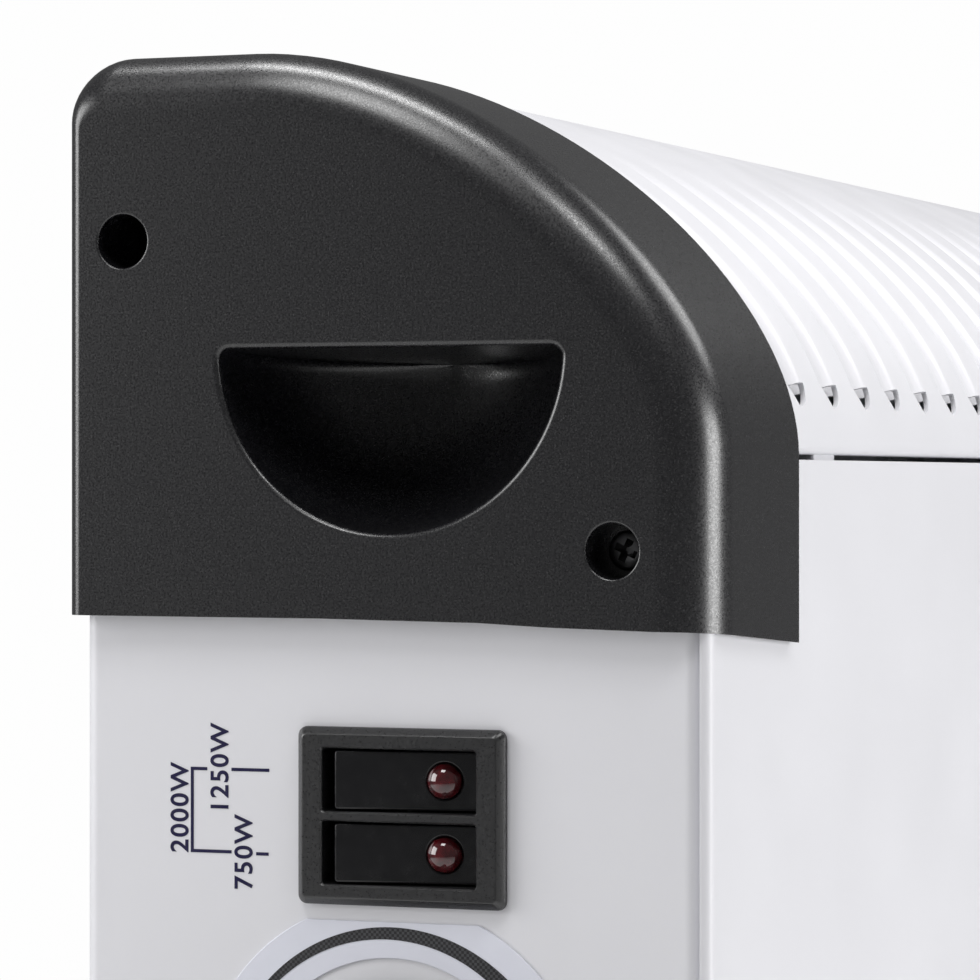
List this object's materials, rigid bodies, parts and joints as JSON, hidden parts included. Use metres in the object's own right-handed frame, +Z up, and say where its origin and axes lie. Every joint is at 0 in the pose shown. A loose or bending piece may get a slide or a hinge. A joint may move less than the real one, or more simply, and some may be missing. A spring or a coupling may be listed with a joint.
{
  "type": "convector heater",
  "caption": "Free-standing panel convector heater: white sheet case, curved louvred outlet, black end caps with finger scoops, lit rocker switches, thermostat knob and feet.",
  "frame": {"origin": "on the floor, under the middle of the heater's outline", "axes": "+X along the length, away from the controls; -Y is the front; +Z is up"},
  "size_m": [0.5558, 0.2, 0.3808],
  "materials": {
    "white_enamel": "satin powder coat",
    "galvanised_steel": "zinc spangle",
    "cap_plastic": "fine spark-eroded grain",
    "foot_plastic": "fine grain",
    "zinc_screw": "bright zinc",
    "black_screw": "black oxide",
    "bezel_plastic": "satin",
    "rocker_plastic": "gloss",
    "red_lens": "clear red dome",
    "plunger_steel": "turned",
    "contact_brass": "stamped",
    "label_print": "printed film",
    "knob_plastic": "satin",
    "thermostat_ceramic": "unglazed",
    "heating_wire": "oxidised",
    "mica": "pressed mica flakes",
    "terminal_ceramic": "unglazed",
    "brown_insulation": "smooth",
    "blue_insulation": "smooth",
    "earth_insulation": "smooth, green and yellow",
    "gland_plastic": "smooth"
  },
  "bodies": {
    "case": {"front_panel": "white_enamel", "end_panel_control": "white_enamel", "end_panel_plain": "white_enamel", "back_panel": "white_enamel", "outlet_grille": "white_enamel", "bottom_grille": "galvanised_steel", "element_frame": "galvanised_steel", "element_bracket": "galvanised_steel", "control_partition": "galvanised_steel", "air_baffle": "galvanised_steel", "end_cap_control": "cap_plastic", "end_cap_plain": "cap_plastic", "foot_control": "foot_plastic", "foot_plain": "foot_plastic", "case_screws": "zinc_screw", "foot_screws": "zinc_screw", "thermostat_screws": "zinc_screw", "earth_screw": "zinc_screw", "cap_screws": "black_screw", "switch_housing": "bezel_plastic", "switch_terminals": "contact_brass", "dial_label": "label_print", "thermostat_body": "thermostat_ceramic", "thermal_cutout": "thermostat_ceramic", "coil_1250": "heating_wire", "coil_750": "heating_wire", "mica_cards": "mica", "terminal_block": "terminal_ceramic", "live_wires": "brown_insulation", "neutral_wires": "blue_insulation", "earth_wire": "earth_insulation", "cord_gland": "gland_plastic"},
    "rocker_upper": {"rocker_1250": "rocker_plastic", "lens_1250": "red_lens", "plunger_1250": "plunger_steel"},
    "rocker_lower": {"rocker_750": "rocker_plastic", "lens_750": "red_lens", "plunger_750": "plunger_steel"},
    "contact_upper": {"contact_1250": "contact_brass"},
    "contact_lower": {"contact_750": "contact_brass"},
    "knob": {"thermostat_knob": "knob_plastic", "thermostat_shaft": "plunger_steel"}
  },
  "joints": [
    {"name": "rocker_1250_rock", "type": "hinge", "parent": "case", "child": "rocker_upper", "pos_m": [-0.2539, -0.0016, 0.27925], "axis": [0, 0, -1], "range_deg": [0, 16]},
    {"name": "rocker_750_rock", "type": "hinge", "parent": "case", "child": "rocker_lower", "pos_m": [-0.2539, -0.0016, 0.26915], "axis": [0, 0, -1], "range_deg": [0, 16]},
    {"name": "contact_1250_tilt", "type": "hinge", "parent": "case", "child": "contact_upper", "pos_m": [-0.2447, -0.0016, 0.27925], "axis": [0, 0, 1], "range_deg": [0, 10.2]},
    {"name": "contact_750_tilt", "type": "hinge", "parent": "case", "child": "contact_lower", "pos_m": [-0.2447, -0.0016, 0.26915], "axis": [0, 0, 1], "range_deg": [0, 10.2]},
    {"name": "knob_turn", "type": "hinge", "parent": "case", "child": "knob", "pos_m": [-0.2679, 0, 0.2332], "axis": [1, 0, 0], "range_deg": [0, 270]}
  ],
  "couplings": [
    {"joint": "contact_1250_tilt", "follows": "rocker_1250_rock", "ratio": 0.625},
    {"joint": "contact_750_tilt", "follows": "rocker_750_rock", "ratio": 0.625}
  ]
}
